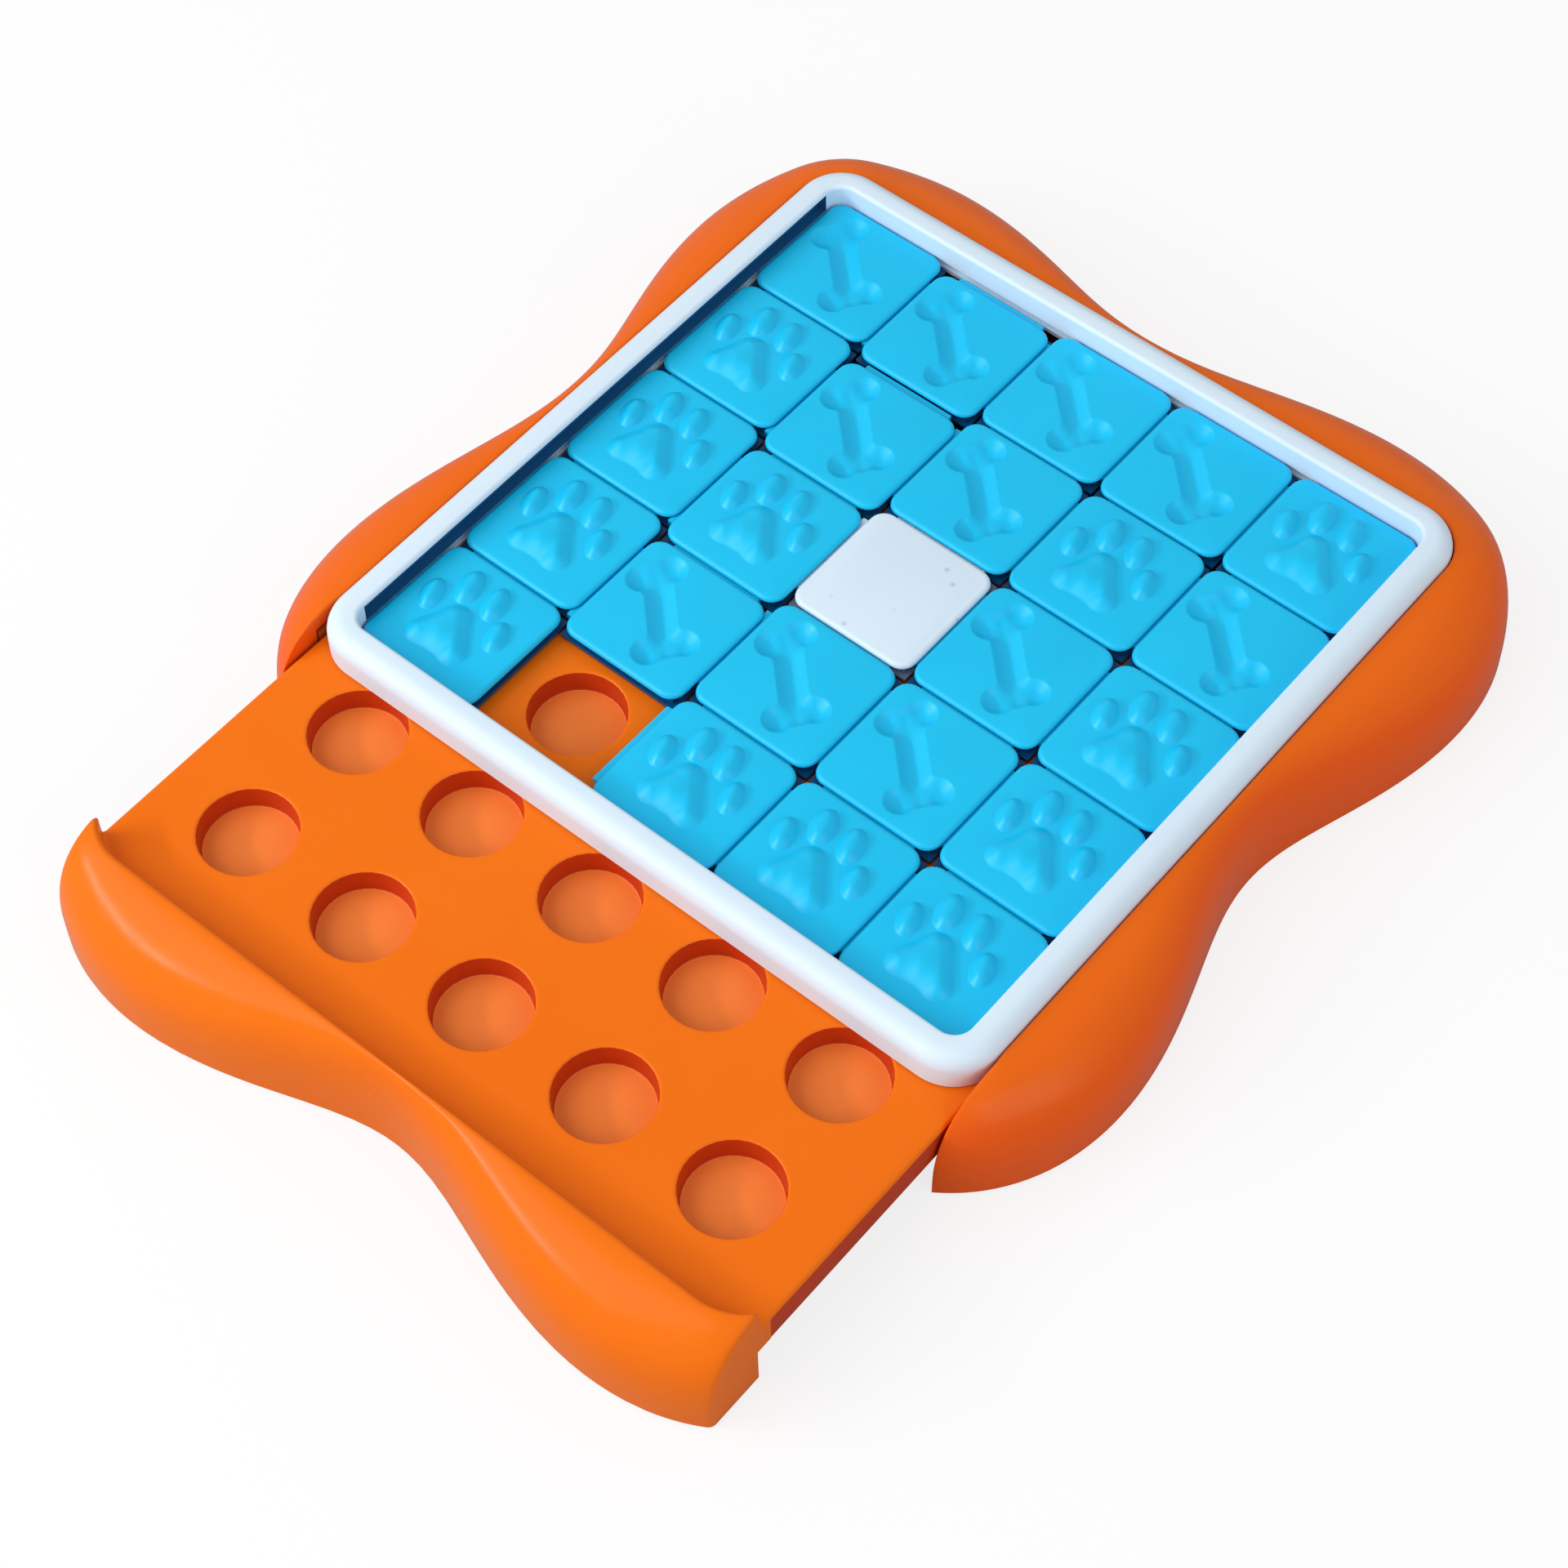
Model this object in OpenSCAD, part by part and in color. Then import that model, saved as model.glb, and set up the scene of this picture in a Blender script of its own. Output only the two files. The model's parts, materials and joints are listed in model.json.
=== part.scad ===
// Sliding-tile treat puzzle for dogs: 24 tiles in a 5 by 5 grid over a drawer with 25 treat wells.
// X runs to the right, Y to the rear and Z up, in millimetres. The origin lies on the floor, under
// the middle of the space that the puzzle takes up with its drawer pulled out by drawer_out.

/* [Tiles] */
// Distance from one tile to the next
tile_pitch = 40; // [38:0.5:46]
// Gap between two tiles
tile_gap = 0.8; // [0.5:0.1:1.2]
// Thickness of a tile
tile_thick = 5; // [4.6:0.1:7]
// Radius of a tile's corners in plan
tile_corner = 4.6; // [3:0.2:6]
// Bevel round the top edge of a tile
tile_bevel = 0.9; // [0.3:0.1:1.2]
// Height of the raised paw and depth of the sunken bone
relief = 1.2; // [0.6:0.1:1.4]
// Width of the paw print
paw_w = 28; // [20:1:30]
// Length of the bone
bone_l = 31; // [22:1:33]
// How far a tongue stands out of a tile or of the frame
tongue_out = 2; // [1.5:0.1:2.4]
// Thickness of a tongue
tongue_thick = 1.5; // [1:0.1:1.8]
// Play above, below and in front of a tongue in its groove
groove_play = 0.3; // [0.2:0.05:0.4]

/* [Frame] */
// Width of the white frame, seen from above
frame_w = 8.5; // [8:0.5:12]
// Height of the frame above the tiles
frame_rise = 6; // [4:0.5:9]
// Radius of the frame's outer corners
frame_corner = 14; // [12:0.5:18]
// Rounding along the frame's outer top edge
frame_round = 4; // [2:0.5:5]
// Rounding along the frame's inner top edge
frame_lip_round = 2.4; // [1:0.2:3]
// Play between the frame and the outer tiles
frame_play = 0.3; // [0.1:0.05:0.5]
// Width of the flange that is clamped between the base and the housing
flange_w = 2.2; // [1.5:0.1:2.4]
// Thickness of the flange
flange_thick = 2.6; // [2:0.1:3]

/* [Drawer] */
// Radius of a treat well
well_r = 13.4; // [10:0.1:15]
// Depth of a treat well
well_depth = 7; // [5:0.5:7.5]
// Height of the drawer's side edge
drawer_h = 10.5; // [10:0.5:14]
// Thickness of the drawer's plate, its side edges and its hollow front
drawer_wall = 2.4; // [1.8:0.1:3]
// Thickness of a well's wall and floor
cup_wall = 1.8; // [1.2:0.1:2]
// Height of the drawer's front above the tiles
front_rise = 3.6; // [1:0.1:5]
// Play between the drawer and its rails
rail_play = 0.3; // [0.2:0.05:0.6]
// Play between the drawer's sides and the channel
side_play = 0.8; // [0.5:0.1:1.2]
// Gap between the drawer's top and the tiles above it
tile_lift = 0.5; // [0.4:0.05:1]
// How far the drawer is pulled out here
drawer_out = 80; // [0:1:150]
// Full travel of the drawer, from closed to its stop
drawer_travel = 150; // [100:5:160]

/* [Housing] */
// Width of the housing beside the frame at its four waists
waist_w = 6.5; // [6:0.1:12]
// Height of the wave in the outline, between the waists and the four lobes
outline_wave = 24.5; // [20:0.5:28]
// How much further the outline reaches sideways than lengthways
outline_stretch = 0.8; // [0:0.1:1]
// Distance of the outline's middle behind the middle of the grid
outline_shift = 1.2; // [0:0.1:1.5]
// Height of the housing's lip above the tiles
lip_rise = 2.4; // [1:0.1:4]
// Squareness of the domed side, from round at 2 to nearly square at 6
crown = 3.3; // [2.5:0.1:5]
// Wall of the housing
shell = 2.4; // [1.8:0.1:2.6]
// Gap between the frame and the lip of the housing
lip_gap = 0.3; // [0.2:0.05:0.5]

/* [Base] */
// Thickness of the base plate
base_thick = 3; // [2.5:0.1:4]
// Thickness of the channel's walls
channel_wall = 1.8; // [1.5:0.1:2]
// Height of the rails that carry the drawer
rail_h = 9.7; // [9:0.1:14]
// Width of a rail
rail_w = 3; // [2:0.1:4]
// How far the rubber feet lift the base plate
foot_lift = 1; // [0.6:0.1:2]
// Radius of a rubber foot
foot_r = 7; // [5:0.5:9]
// Depth of the recess that holds a rubber foot
foot_sink = 1.2; // [0.8:0.1:1.5]
// Radius of a screw's shank
screw_r = 1.5; // [1.2:0.1:1.8]
// Radius of a screw's head
screw_head_r = 2.9; // [2.6:0.1:3.2]
// Length of thread in the housing
screw_bite = 9.5; // [6:0.5:10]

/* [Hidden] */
$fn = 48;
cells = 5;
middle = (cells - 1) / 2;

// Kind of the tile at each column and row, from the rear row to the front row
layout = [
    ["bone", "bone", "bone", "bone", "paw"],
    ["paw", "bone", "bone", "paw", "bone"],
    ["paw", "paw", "plain", "bone", "paw"],
    ["paw", "bone", "bone", "bone", "paw"],
    ["paw", "", "paw", "paw", "paw"]
];
// The column behind the empty cell, and how far each of its tiles has slid towards that cell
loose_column = 1;
slid = [2.8, 4.4, 4.6, 5];

// Clearances between the pieces
seam = 0.3;
gap = 0.6;

// Heights, from the floor up
base_top = foot_lift + base_thick;
rail_top = base_top + rail_h;
drawer_bottom = rail_top + rail_play;
drawer_top = drawer_bottom + drawer_h;
plate_bottom = drawer_top - drawer_wall;
cup_bottom = drawer_top - well_depth - cup_wall;
tile_bottom = drawer_top + tile_lift;
tile_top = tile_bottom + tile_thick;
frame_bottom = drawer_top + gap;
frame_top = tile_top + frame_rise;
flange_top = frame_bottom + flange_thick;
lip_z = tile_top + lip_rise;
front_z = tile_top + front_rise;
shell_bottom = foot_lift - 0.2;
above = 2 * frame_top;

// Tongues and grooves
tongue_low = tile_bottom + (tile_thick - tongue_thick) / 2;
tongue_high = tongue_low + tongue_thick;
groove_deep = tongue_out - tile_gap + groove_play;

// Half widths, from the middle out
tile_half = (tile_pitch - tile_gap) / 2;
tiles_half = middle * tile_pitch + tile_half;
frame_inner = cells * tile_pitch / 2 + frame_play;
frame_outer = frame_inner + frame_w;
frame_straight = frame_outer - frame_corner;
pocket_half = frame_outer + lip_gap;
drawer_half = frame_outer - 0.4;
drawer_inside = drawer_half - drawer_wall;
channel_half = drawer_half + side_play;
channel_outer = channel_half + channel_wall;
mouth_half = channel_half + 0.2;
room_half = channel_outer + 3 * seam;
lining_half = room_half - 0.5;

// The drawer's front, with the drawer closed: its upper back face and its foot
front_back = frame_outer + gap;
front_foot = frame_outer - 4;
base_front = front_foot - 0.8;

// Wavy outline
outline_mean = pocket_half + waist_w + outline_wave;
outline_steps = 96;
crown_steps = 7;
far = 2 * outline_mean;

// Stop lugs under the drawer's rear edge, and the posts that they meet
stop_x = 1.5 * tile_pitch;
stop_w = 12;
lug_bottom = base_top + 3;
post_top = lug_bottom + 4;
post_rear = drawer_inside - drawer_travel - seam;

// Screws: they pass through posts on the base into bosses under the housing
post_z = base_top + 10;
boss_r = screw_r + 2.1;
screw_post_r = screw_head_r + 1.7;
head_seat = foot_lift + 6;
head_h = 2.2;
screw_y = 1.65 * tile_pitch;
screw_x = channel_outer + screw_post_r + 5;
screw_spots = [
    for (x = [-screw_x, screw_x], y = [-screw_y, screw_y]) [x, y],
    for (x = [-screw_y, screw_y]) [x, screw_x]
];

// Rubber feet, by direction from the middle of the grid
foot_names = ["foot_rear_right", "foot_rear_left", "foot_front_left", "foot_front_right"];
foot_angles = [45, 135, 216, 324];

function tile_x(column) = (column - middle) * tile_pitch;
function tile_y(row) = (middle - row) * tile_pitch;
function tile_name(column, row) = str("tile_", chr(97 + column), cells - row);

// Radius of the wavy outline in the direction a
function outline_r(a) = outline_mean + outline_stretch * cos(2 * a) - outline_wave * cos(4 * a);

function foot_spot(a) = (outline_r(a) - shell - foot_r - 7) * [cos(a), sin(a)];

// Radius of a square with rounded corners in the direction a
function square_r(a, half, corner) =
    let (
        c = abs(cos(a)),
        s = abs(sin(a)),
        edge = half / max(c, s),
        k = half - corner,
        along = k * (c + s)
    )
    edge * min(c, s) > k ? along + sqrt(along * along - 2 * k * k + corner * corner) : edge;

// A point of the dome in the direction a: t runs from 0 at the lip to 90 at the foot
function dome_point(a, t, top, inset) =
    let (
        inner = square_r(a, pocket_half - 1, frame_corner),
        outer = outline_r(a) - inset,
        u = sin(t),
        h = pow(max(cos(t), 0), 2 / crown)
    )
    [
        (inner * (1 - u) + outer * u) * cos(a),
        (inner * (1 - u) + outer * u) * sin(a) + outline_shift * u,
        shell_bottom + (top - inset - shell_bottom) * h
    ];

// How far the housing reaches to the rear, and the closed drawer to the front
function reach(side) =
    max([for (k = [0:outline_steps - 1]) side * dome_point(k * 360 / outline_steps, 90, 0, 0).y]);

// The middle of the grid, seen from the origin
grid_y = (drawer_out + reach(-1) - reach(1)) / 2;

module on_grid() {
    translate([0, grid_y, 0]) children();
}

// A box given by its lowest and highest corner
module block(low, high) {
    translate(low) cube(high - low);
}

// An upright prism with rounded corners, centred on Z
module rounded_prism(half, corner, z0, z1) {
    k = half - corner;
    translate([0, 0, z0]) linear_extrude(z1 - z0) {
        square([2 * half, 2 * k], center = true);
        square([2 * k, 2 * half], center = true);
        for (x = [-k, k], y = [-k, k]) translate([x, y]) circle(r = corner);
    }
}

// The closed dome over the wavy outline, drawn in by inset, with its foot lowered by deepen
module pebble(top, inset = 0, deepen = 0) {
    n = outline_steps;
    angles = [for (k = [0:n - 1]) k * 360 / n];
    wall = [
        for (j = [0:crown_steps])
            for (a = angles)
                dome_point(a, j * 90 / crown_steps, top, inset) - [0, 0, j == crown_steps ? deepen : 0]
    ];
    foot = len(wall) - n;
    tip = len(wall);
    tail = tip + 1;
    polyhedron(
        points = [each wall, [0, 0, top - inset], [0, outline_shift, wall[foot].z]],
        faces = [
            for (j = [0:n:foot - 1])
                for (k = [0:n - 1])
                    let (a = j + k, b = j + (k + 1) % n)
                    each [[a, b, b + n], [a, b + n, a + n]],
            for (k = [0:n - 1])
                let (b = (k + 1) % n)
                each [[tip, b, k], [tail, foot + k, foot + b]]
        ]
    );
}

// ---- Tiles ----

// A square plate with rounded corners and a bevelled top edge
module tile_body() {
    k = tile_half - tile_corner;
    edge_z = tile_top - tile_bevel;
    rounded_prism(tile_half, tile_corner, tile_bottom, edge_z);
    for (x = [-k, k], y = [-k, k])
        translate([x, y, edge_z]) cylinder(h = tile_bevel, r1 = tile_corner, r2 = tile_corner - tile_bevel);
    slope = tile_half - tile_bevel;
    for (turn = [0, 90])
        rotate([0, 0, turn]) rotate([90, 0, 0]) linear_extrude(2 * k, center = true)
            polygon([[-tile_half, edge_z], [tile_half, edge_z], [slope, tile_top], [-slope, tile_top]]);
}

// The tongues on the left and rear edges
module tile_tongues() {
    k = tile_half - tile_corner - 0.5;
    tip = tile_half + tongue_out;
    block([-tip, -k, tongue_low], [1 - tile_half, k, tongue_high]);
    block([-k, tile_half - 1, tongue_low], [k, tip, tongue_high]);
}

// The grooves in the right and front edges
module tile_grooves() {
    past = tile_half + 1;
    bottom = tile_half - groove_deep;
    block([bottom, -past, tongue_low - groove_play], [past, past, tongue_high + groove_play]);
    block([-past, -past, tongue_low - groove_play], [past, -bottom, tongue_high + groove_play]);
}

// The cap of a sphere that rises to the relief's height over a circle of radius r
module cap(at, r) {
    ball = (r * r + relief * relief) / (2 * relief);
    translate([at.x, at.y, tile_top]) intersection() {
        translate([0, 0, relief - ball]) sphere(r = ball);
        translate([0, 0, -relief]) cylinder(h = 3 * relief, r = r);
    }
}

// A raised paw print: a pad with three lobes and four toes
module paw() {
    for (at = [[-0.22, -0.3], [0.17, -0.31], [-0.04, -0.11]]) cap(paw_w * at, 0.15 * paw_w);
    cap(paw_w * [-0.03, -0.24], 0.17 * paw_w);
    for (at = [[-0.42, 0.13], [-0.2, 0.38], [0.11, 0.38], [0.37, 0.12]]) cap(paw_w * at, 0.12 * paw_w);
}

// A sunken bone, lying from the rear left to the front right
module bone() {
    knob_r = 0.115 * bone_l;
    translate([0, 0, tile_top - relief]) linear_extrude(relief + 1) rotate(-43) {
        square([0.8 * bone_l, 1.7 * knob_r], center = true);
        for (x = [-1, 1], y = [-1.3 * knob_r, 1.3 * knob_r])
            translate([x * (bone_l / 2 - knob_r), y]) circle(r = knob_r);
    }
}

module tile(column, row) {
    kind = layout[row][column];
    forward = column == loose_column ? slid[row] : 0;
    color(kind == "plain" ? [0.84, 0.91, 0.97] : [0.14, 0.75, 0.95])
        on_grid() translate([tile_x(column), tile_y(row) - forward, 0]) {
            difference() {
                tile_body();
                tile_grooves();
                if (kind == "bone") bone();
            }
            tile_tongues();
            if (kind == "paw") paw();
        }
}

// ---- Frame ----

// Section of the frame: x is the distance inwards from its outer face
module frame_section() {
    inner_x = frame_w - frame_lip_round;
    polygon([
        [0, frame_bottom],
        [frame_w, frame_bottom],
        for (a = [0:22.5:90])
            [inner_x + frame_lip_round * cos(a), frame_top + frame_lip_round * (sin(a) - 1)],
        for (a = [90:18:180]) [frame_round * (1 + cos(a)), frame_top + frame_round * (sin(a) - 1)]
    ]);
}

module frame_ring() {
    for (turn = [0:90:270]) rotate([0, 0, turn]) {
        translate([frame_outer, 0, 0]) rotate([90, 0, 0])
            linear_extrude(2 * frame_straight, center = true) mirror([1, 0]) frame_section();
        translate([frame_straight, frame_straight, 0]) rotate_extrude(angle = 90)
            translate([frame_corner, 0]) mirror([1, 0]) frame_section();
    }
}

module bezel_frame() {
    groove_end = tiles_half + tongue_out + groove_play;
    groove_z = [tongue_low - groove_play, tongue_high + groove_play];
    tip = tiles_half - groove_deep + groove_play;
    along = tiles_half - tile_corner;
    flange = frame_outer + flange_w;
    color([0.85, 0.9, 0.96]) on_grid() {
        difference() {
            frame_ring();
            block([-groove_end, -tiles_half, groove_z[0]], [1 - frame_inner, tiles_half, groove_z[1]]);
            block([-tiles_half, frame_inner - 1, groove_z[0]], [tiles_half, groove_end, groove_z[1]]);
        }
        // tongues on the right and front walls
        block([tip, -along, tongue_low], [frame_inner + 1, along, tongue_high]);
        block([-along, -frame_inner - 1, tongue_low], [along, -tip, tongue_high]);
        // flange along the sides and the rear
        for (low = [-flange, frame_outer - 1])
            block(
                [low, -frame_straight, frame_bottom], [low + flange_w + 1, frame_straight, flange_top]
            );
        block([-frame_straight, frame_outer - 1, frame_bottom], [frame_straight, flange, flange_top]);
    }
}

// ---- Drawer ----

// The drawer's front: the part of the dome between the two arms of the housing, hollow from below
module drawer_front() {
    difference() {
        intersection() {
            pebble(front_z);
            block([-drawer_half, -far, 0], [drawer_half, -front_foot, above]);
        }
        rounded_prism(front_back, frame_corner + gap, drawer_top, above);
        intersection() {
            pebble(front_z, inset = drawer_wall, deepen = 2);
            union() {
                block([-drawer_inside, -far, -2], [drawer_inside, -front_foot - drawer_wall, plate_bottom]);
                block([-drawer_inside, -far, -2], [drawer_inside, -front_back - drawer_wall, above]);
            }
        }
    }
}

module drawer_plate() {
    front = -front_foot - drawer_wall / 2;
    difference() {
        union() {
            block([-drawer_half, front, plate_bottom], [drawer_half, drawer_half, drawer_top]);
            block([-drawer_half, front, drawer_bottom], [-drawer_inside, drawer_half, drawer_top]);
            block([drawer_inside, front, drawer_bottom], [drawer_half, drawer_half, drawer_top]);
            block([-drawer_half, drawer_inside, drawer_bottom], [drawer_half, drawer_half, drawer_top]);
            for (column = [0:cells - 1], row = [0:cells - 1])
                translate([tile_x(column), tile_y(row), cup_bottom])
                    cylinder(h = plate_bottom + 0.5 - cup_bottom, r = well_r + cup_wall);
            for (x = [-stop_x, stop_x])
                block(
                    [x - stop_w / 2, drawer_inside, lug_bottom], [x + stop_w / 2, drawer_half, plate_bottom]
                );
        }
        for (column = [0:cells - 1], row = [0:cells - 1])
            translate([tile_x(column), tile_y(row), drawer_top - well_depth])
                cylinder(h = well_depth + 1, r = well_r);
    }
}

module drawer() {
    color([0.95, 0.46, 0.12]) on_grid() translate([0, -drawer_out, 0]) {
        drawer_plate();
        drawer_front();
    }
}

// ---- Housing ----

// What the housing's inside keeps clear of: the lip round the frame and the arms' end walls
module housing_solid_zone() {
    rounded_prism(lining_half, frame_corner + 2, flange_top - 0.5, above);
    block([-lining_half, -far, -3], [lining_half, -base_front - 3 * seam, above]);
}

module housing() {
    color([0.94, 0.44, 0.12]) on_grid() {
        difference() {
            pebble(lip_z);
            // pocket for the frame, the drawer's mouth and room for the base's channel
            rounded_prism(pocket_half, frame_corner + lip_gap, -1, above);
            block([-mouth_half, -far, -1], [mouth_half, -frame_straight - 1, above]);
            block([-room_half, -base_front - seam, -1], [room_half, room_half, flange_top]);
            difference() {
                pebble(lip_z, inset = shell, deepen = 2);
                housing_solid_zone();
            }
        }
        intersection() {
            pebble(lip_z, inset = shell / 2);
            for (spot = screw_spots) translate([spot.x, spot.y, post_z]) difference() {
                cylinder(h = lip_z, r = boss_r);
                translate([0, 0, -1]) cylinder(h = screw_bite + 2, r = screw_r + 0.05);
            }
        }
    }
}

// ---- Base ----

// The plate inside the housing's rim, cut off behind the drawer's front
module plate_blank() {
    edge = shell + 0.4;
    intersection() {
        translate([0, 0, foot_lift]) linear_extrude(base_thick) polygon([
            for (k = [0:outline_steps - 1])
                let (a = k * 360 / outline_steps, r = outline_r(a) - edge)
                [r * cos(a), r * sin(a) + outline_shift]
        ]);
        block([-far, -base_front, 0], [far, far, base_top]);
    }
}

// The channel's walls, the rails, the stop posts and the screw posts
module plate_walls() {
    sunk = base_top - 1;
    for (low = [-channel_outer, channel_half])
        block([low, -base_front, sunk], [low + channel_wall, channel_outer, frame_bottom]);
    block([-channel_outer, channel_half, sunk], [channel_outer, channel_outer, frame_bottom]);
    for (low = [-drawer_half, drawer_half - rail_w])
        block([low, -base_front, sunk], [low + rail_w, channel_outer, rail_top]);
    for (x = [-stop_x, stop_x])
        block([x - stop_w / 2, post_rear - 4, sunk], [x + stop_w / 2, post_rear, post_top]);
    for (spot = screw_spots)
        translate([spot.x, spot.y, sunk]) cylinder(h = post_z - sunk, r = screw_post_r);
}

module base_plate() {
    color([0.9, 0.42, 0.13]) on_grid() difference() {
        union() {
            plate_blank();
            plate_walls();
        }
        for (spot = screw_spots) translate(spot) {
            cylinder(h = post_z + 1, r = screw_r + 0.2);
            cylinder(h = head_seat, r = screw_head_r + seam);
        }
        for (a = foot_angles)
            translate(foot_spot(a)) cylinder(h = foot_lift + foot_sink, r = foot_r + 0.2);
    }
}

module base_screws() {
    color([0.75, 0.75, 0.77]) on_grid() for (spot = screw_spots) translate(spot) {
        translate([0, 0, head_seat - head_h]) cylinder(h = head_h, r = screw_head_r);
        translate([0, 0, head_seat - 0.1]) cylinder(h = post_z + screw_bite + 0.1 - head_seat, r = screw_r);
    }
}

module foot(a) {
    color([0.2, 0.2, 0.22]) on_grid()
        translate(foot_spot(a)) cylinder(h = foot_lift + foot_sink, r = foot_r);
}

housing();
base_plate();
bezel_frame();
drawer();
base_screws();
for (k = [0:3])
    foot(foot_angles[k]);
for (row = [0:cells - 1], column = [0:cells - 1])
    if (layout[row][column] != "")
        tile(column, row);
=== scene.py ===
"""Looks of a sliding-tile treat puzzle for dogs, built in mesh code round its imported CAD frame.

Lengths are in millimetres, measured from the middle of the tile grid, with Z up from the floor.
Piece.mesh() turns them into metres in the shared frame.
"""
import json
from math import atan2, cos, hypot, pi, radians, sin, sqrt, tan

import bmesh
import bpy
from mathutils import Matrix, Vector
from mathutils.geometry import delaunay_2d_cdt

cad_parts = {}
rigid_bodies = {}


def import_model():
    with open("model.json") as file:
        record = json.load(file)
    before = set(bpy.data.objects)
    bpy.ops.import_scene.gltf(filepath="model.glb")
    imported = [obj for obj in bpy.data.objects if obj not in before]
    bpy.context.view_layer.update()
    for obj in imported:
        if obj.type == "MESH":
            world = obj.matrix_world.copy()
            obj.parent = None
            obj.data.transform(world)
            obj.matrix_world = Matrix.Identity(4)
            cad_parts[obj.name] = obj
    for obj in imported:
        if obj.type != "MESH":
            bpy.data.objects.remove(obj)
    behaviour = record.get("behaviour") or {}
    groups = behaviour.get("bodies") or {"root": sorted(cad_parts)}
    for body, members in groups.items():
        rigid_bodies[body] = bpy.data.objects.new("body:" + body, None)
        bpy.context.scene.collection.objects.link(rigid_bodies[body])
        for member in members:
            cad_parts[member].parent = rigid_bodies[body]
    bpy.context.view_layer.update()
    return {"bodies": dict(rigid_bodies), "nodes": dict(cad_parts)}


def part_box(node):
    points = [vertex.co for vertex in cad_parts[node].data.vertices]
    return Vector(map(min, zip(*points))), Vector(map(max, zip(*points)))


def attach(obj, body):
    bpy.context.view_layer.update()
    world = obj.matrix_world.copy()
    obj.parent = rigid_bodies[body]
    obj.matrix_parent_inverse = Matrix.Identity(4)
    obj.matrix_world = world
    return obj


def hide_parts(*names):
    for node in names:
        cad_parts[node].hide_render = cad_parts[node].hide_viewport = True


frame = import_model()
MM = 0.001


def box_mm(node):
    """Lowest and highest corner of a CAD node in millimetres."""
    return [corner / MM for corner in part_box(node)]


# ---- Sizes shared by several pieces ----

# Grid of tiles
PITCH = 40.0
CELLS = 5
GRID_HALF = CELLS * PITCH / 2
CENTRES = [(i - (CELLS - 1) / 2) * PITCH for i in range(CELLS)]
TILE_HALF = 19.6
plain_low, plain_high = box_mm("tile_c3")
GRID_Y = plain_low.y + TILE_HALF
TILE_BOTTOM, TILE_TOP = plain_low.z, plain_high.z

# Tongues and grooves that hold the tiles to each other and to the frame
TONGUE_OUT = 2.0
TONGUE_Z = (26.75, 28.25)
GROOVE_Z = (26.45, 28.55)

# Frame
FRAME_INNER = 100.3
FRAME_OUTER = 108.8
FRAME_CORNER = 14.0
FRAME_STRAIGHT = FRAME_OUTER - FRAME_CORNER
FLANGE_TOP = 27.7

# Drawer
drawer_high = box_mm("drawer")[1]
DRAWER_HALF = drawer_high.x
DRAWER_OUT = DRAWER_HALF + GRID_Y - drawer_high.y
WALL = 2.4

# Housing
SHELL_BOTTOM, LIP_Z = [corner.z for corner in box_mm("housing")]
POCKET_GAP = 0.3
POCKET = FRAME_OUTER + POCKET_GAP
POCKET_CORNER = FRAME_CORNER + POCKET_GAP

# What each tile shows, by row from the rear to the front. The cell b1 is empty.
COLUMNS = "abcde"
LAYOUT = {
    5: ["bone", "bone", "bone", "bone", "paw"],
    4: ["paw", "bone", "bone", "paw", "bone"],
    3: ["paw", "paw", "plain", "bone", "paw"],
    2: ["paw", "bone", "bone", "bone", "paw"],
    1: ["paw", "", "paw", "paw", "paw"],
}


# ---- Mesh helpers ----

# Points nearer than this are one point, and corners nearer than this make no edge.
MERGE = 1e-4
TINY = 1e-5


class Piece:
    """Collects closed surfaces in millimetres and makes one smooth-shaded mesh of them."""

    def __init__(self):
        self.bm = bmesh.new()

    def vertex(self, point):
        return self.bm.verts.new(point)

    def face(self, corners):
        """Adds a face, without the corners that lie on another one."""
        kept = []
        for v in corners:
            if all((v.co - k.co).length > TINY for k in kept):
                kept.append(v)
        if len(kept) > 2:
            self.bm.faces.new(kept)

    def loft(self, rows, closed_rows=True, closed_columns=False):
        """Skins rows of points; each row may close on itself, and the last row may meet the first."""
        made = [[self.vertex(p) for p in row] for row in rows]
        count = len(rows[0])
        last = len(made) if closed_columns else len(made) - 1
        for j in range(last):
            near, away = made[j], made[(j + 1) % len(made)]
            for i in range(count if closed_rows else count - 1):
                k = (i + 1) % count
                self.face([near[i], near[k], away[k], away[i]])
        return made

    def fan(self, row, centre):
        """Closes a row of vertices with triangles round a centre point."""
        hub = self.vertex(centre)
        for i, v in enumerate(row):
            self.face([v, row[(i + 1) % len(row)], hub])

    def mesh(self, name, crease, shift=(0, 0, 0)):
        """Finishes the mesh in metres, smooth but for edges sharper than crease degrees."""
        bm = self.bm
        bmesh.ops.remove_doubles(bm, verts=bm.verts, dist=MERGE)
        bmesh.ops.recalc_face_normals(bm, faces=bm.faces)
        bm.transform(Matrix.Translation(Vector(shift) + Vector((0, GRID_Y, 0))))
        bm.transform(Matrix.Scale(MM, 4))
        for f in bm.faces:
            f.smooth = True
        for e in bm.edges:
            if len(e.link_faces) != 2 or e.calc_face_angle(0) > radians(crease):
                e.smooth = False
        data = bpy.data.meshes.new(name)
        bm.to_mesh(data)
        bm.free()
        return data


def show(name, data, materials, body, node):
    """Puts a mesh into the scene as a piece on a body, in place of a CAD node."""
    obj = bpy.data.objects.new(name, data)
    bpy.context.scene.collection.objects.link(obj)
    for material in materials:
        data.materials.append(material)
    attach(obj, body)
    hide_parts(node)


def arc(centre, radius, start, end, steps):
    """Points of an arc in a plane, both ends included, with angles in degrees."""
    angles = [radians(start + (end - start) * i / steps) for i in range(steps + 1)]
    return [(centre[0] + radius * cos(a), centre[1] + radius * sin(a)) for a in angles]


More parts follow.
